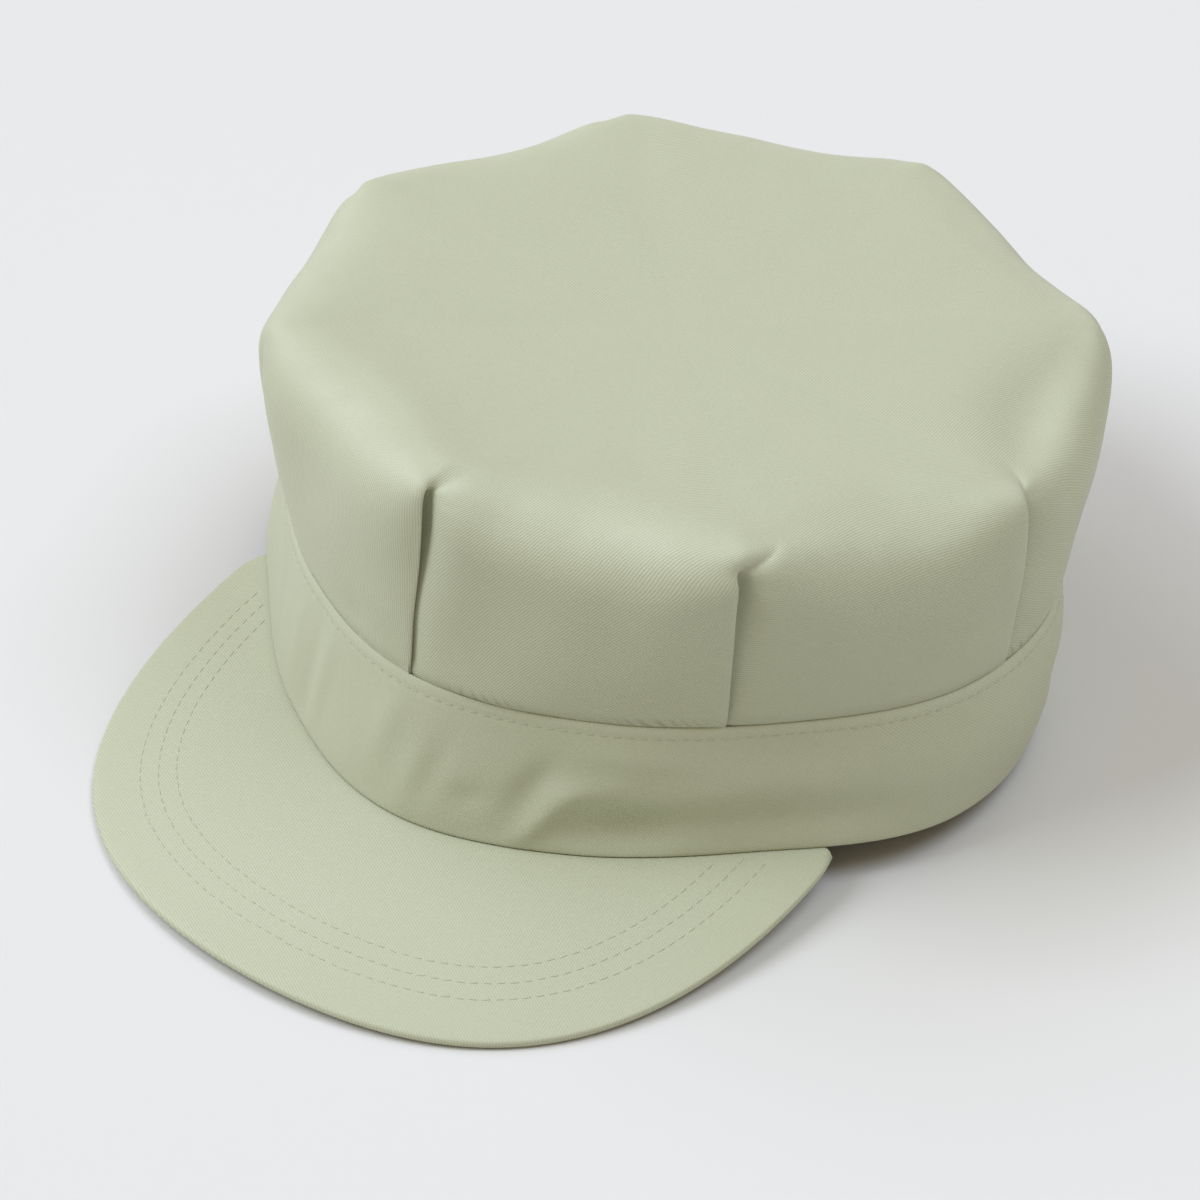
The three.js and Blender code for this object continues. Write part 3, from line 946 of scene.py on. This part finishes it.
def gathers(finish, u, v, rise):
    """How far the cloth is drawn in over the seam, and the puckers there, which lie slanting."""
    drawn = ((rise - DRAWN_UP) / DRAWN_TALL).bell()
    turn = u.math("ARCTAN2", u, v * -1)
    slant = (turn * (seam_radius * MM) + rise * PUCKER_SLANT) / PUCKER_PITCH
    slant = slant + finish.cloud(size=0.011, detail=0.0, seed=8.0) * 2
    patchy = finish.sway(8, size=0.015, detail=0.0, seed=9.0).clamped()
    where = patchy * (turn**2 - BACK_FROM).clamped()
    for middle, half_wide in GATHERED:
        where = where + ((turn - middle) / half_wide).bell()
    return drawn, slant.wave() ** 3 * where * drawn


def twill(name, lean, depth=1.0, needle_row=None, round_cut=False, painted_highlight_at=None):
    """Twill with ribs at lean degrees to the cut's x, which show by depth. A row of needle holes
    lies that far up the cut, and a painted highlight makes it paler at a place up it, or out from
    its middle where the cut is round, and over a width. The round cut is gathered at its seam, with
    painted shade there."""
    finish = Finish(name, Sheen_Weight=0.12, Sheen_Roughness=0.5, Specular_IOR_Level=0.5)
    u, v = finish.cut()
    turn = math.radians(lean)
    drift = finish.sway(0.0012, size=0.02, detail=1.0, seed=4.0)
    wobble = finish.sway(0.0003, size=0.0022, detail=1.0, seed=5.0)
    across = (v * math.cos(turn) - u * math.sin(turn) + (drift + wobble)) / TWILL_PITCH
    along = (u * math.cos(turn) + v * math.sin(turn)) / FLOAT_PITCH
    ribs = across.wave()
    floats = (along + across * 0.5).wave()
    slub = finish.sway(SLUB_SHOWS, size=0.0009, detail=2.0, seed=1.0)
    weave = (ribs - 0.5) * (RIB_SHOWS * depth) + (floats - 0.5) * FLOAT_SHOWS + slub + 0.5
    shade = finish.tint(weave, MOSS_DEEP, MOSS_PALE)
    patches = finish.sway(0.5, size=0.045, detail=3.0, seed=2.0)
    colour = finish.tint(patches + 0.25, shade, MOSS)
    height = weave
    if needle_row:
        height = height - ((v - needle_row) / NEEDLE_WIDE).bell() * NEEDLE_DEEP
    measure = (u * u + v * v) ** 0.5 if round_cut else v
    if painted_highlight_at:
        middle, width = painted_highlight_at
        # painted highlight: paler in patches along a strip where light falls on a ridge
        patchy = finish.cloud(size=0.007, detail=3.0, seed=6.0)
        painted_highlight_mask = ((measure - middle) / width).bell() * patchy * PAINTED_HIGHLIGHT_SHARE
        colour = finish.tint(painted_highlight_mask, colour, MOSS_PAINTED_HIGHLIGHT)
    if round_cut:
        drawn, puckers = gathers(finish, u, v, seam_radius * MM - measure)
        height = height - puckers * PUCKER_DEEP
        # painted shade where the cloth is drawn in over the seam and in the puckers' dips
        colour = finish.tint(drawn * SEAM_SHADE + puckers * PUCKER_SHADE, colour, SHADED)
    finish.feed("Base Color", colour)
    finish.feed("Roughness", ROUGH - ribs * RIB_GLOSS)
    bump = {"Strength": 0.6, "Distance": 0.00012, "Height": height}
    finish.feed("Normal", finish.add("ShaderNodeBump", {}, bump))
    return finish.material


def sewing_thread():
    finish = Finish("sewing thread", Sheen_Weight=0.2)
    twist = finish.cloud(size=0.0006, detail=1.0, seed=7.0)
    finish.feed("Base Color", finish.tint(twist, THREAD_DEEP, MOSS))
    finish.feed("Roughness", 0.6 + twist * 0.2)
    return finish.material


BRIM_FOLD_ROW = len(SKIRT_UPS) + 27  # where the side rolls over into the top
# Where the painted highlights lie: along the crown's roll into the top and along the band's top
# edge
brim_painted_highlight = (cut_radius[BRIM_FOLD_ROW] * MM, 0.006)
band_top_painted_highlight = ((BAND_HEIGHT - 1.0) * MM, 0.0011)
needle_holes = BAND_HEIGHT * STITCH_UP * MM
crown.data.materials.append(twill("crown twill", 74, round_cut=True, painted_highlight_at=brim_painted_highlight))
band.data.materials.append(twill("band twill", -40, 0.6, needle_holes, painted_highlight_at=band_top_painted_highlight))
peak.data.materials.append(twill("peak twill", -24, 0.7))

thread_finish = sewing_thread()
for piece in (band_thread, peak_thread):
    piece.data.materials.append(thread_finish)
    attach(piece, "root")
for piece, node in ((crown, "crown"), (band, "band"), (peak, "peak")):
    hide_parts(node)
    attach(piece, "root")

cut_out = cut_radius[0] * MM
2 * cut_out
2 * cut_out
math.pi * cut_out**2

# Floor, light and camera
FLOOR_SIZE = 3.0
FLOOR_DOWN = 0.0002
floor_mesh = bmesh.new()
below = Matrix.Translation((0, 0, -FLOOR_DOWN))
bmesh.ops.create_grid(floor_mesh, x_segments=1, y_segments=1, size=FLOOR_SIZE, matrix=below)
floor = new_piece("floor", floor_mesh)
floor_finish = Finish("pale floor", Base_Color=(0.7, 0.7, 0.7, 1), Roughness=0.9)
floor.data.materials.append(floor_finish.material)

# The photograph's camera: its turn round the cap, its height, its roll and what it looks at
AZIMUTH, ELEVATION, ROLL = (math.radians(v) for v in (37.76, 40.09, 0.41))
DISTANCE = 1.2
FOCAL_PIXELS = 4871.8
PICTURE_PIXELS = 1200
AIM_RIGHT, AIM_UP = -3.09, 10.08  # mm

ahead = Vector((math.sin(AZIMUTH), -math.cos(AZIMUTH), 0))  # from the cap towards the camera
right = Vector((math.cos(AZIMUTH), math.sin(AZIMUTH), 0))
back = ahead * math.cos(ELEVATION) + Vector((0, 0, math.sin(ELEVATION)))
up = back.cross(right)
aim = (right * AIM_RIGHT + up * AIM_UP + Vector((0, forward, BAND_RAISED))) * MM
camera = bpy.data.objects.new("camera", bpy.data.cameras.new("camera"))
bpy.context.collection.objects.link(camera)
camera.data.sensor_width = 36
camera.data.lens = FOCAL_PIXELS * camera.data.sensor_width / PICTURE_PIXELS
turned_right = right * math.cos(ROLL) + up * math.sin(ROLL)
turned_up = up * math.cos(ROLL) - right * math.sin(ROLL)
axes = Matrix((turned_right, turned_up, back)).transposed().to_4x4()
camera.matrix_world = Matrix.Translation(aim + back * DISTANCE) @ axes
bpy.context.scene.camera = camera

LIGHT_SPREAD = 35  # degrees


def softlight(name, turn, height, colour):
    """A broad light. turn goes round the cap: 0 from the camera, 90 from the picture's right."""
    lamp = bpy.data.lights.new(name, "SUN")
    lamp.energy = max(colour)
    lamp.color = [share / lamp.energy for share in colour]
    lamp.angle = math.radians(LIGHT_SPREAD)
    light = bpy.data.objects.new(name, lamp)
    bpy.context.collection.objects.link(light)
    turn, height = math.radians(turn), math.radians(height)
    toward = (ahead * math.cos(turn) + right * math.sin(turn)) * math.cos(height)
    toward.z = math.sin(height)
    light.matrix_world = toward.to_track_quat("Z", "Y").to_matrix().to_4x4()


softlight("window light", 270, 45, (1.64, 1.77, 1.93))
softlight("light from the right", 90, 65, (0.95, 1.05, 1.22))
softlight("light from behind", 225, 45, (0.55, 0.59, 0.77))
world = bpy.data.worlds.new("studio")
world.use_nodes = True
world.node_tree.nodes["Background"].inputs["Color"].default_value = (0.39, 0.33, 0.223, 1)
world.node_tree.nodes["Background"].inputs["Strength"].default_value = 1.0
bpy.context.scene.world = world
bpy.context.scene.view_settings.view_transform = "Standard"
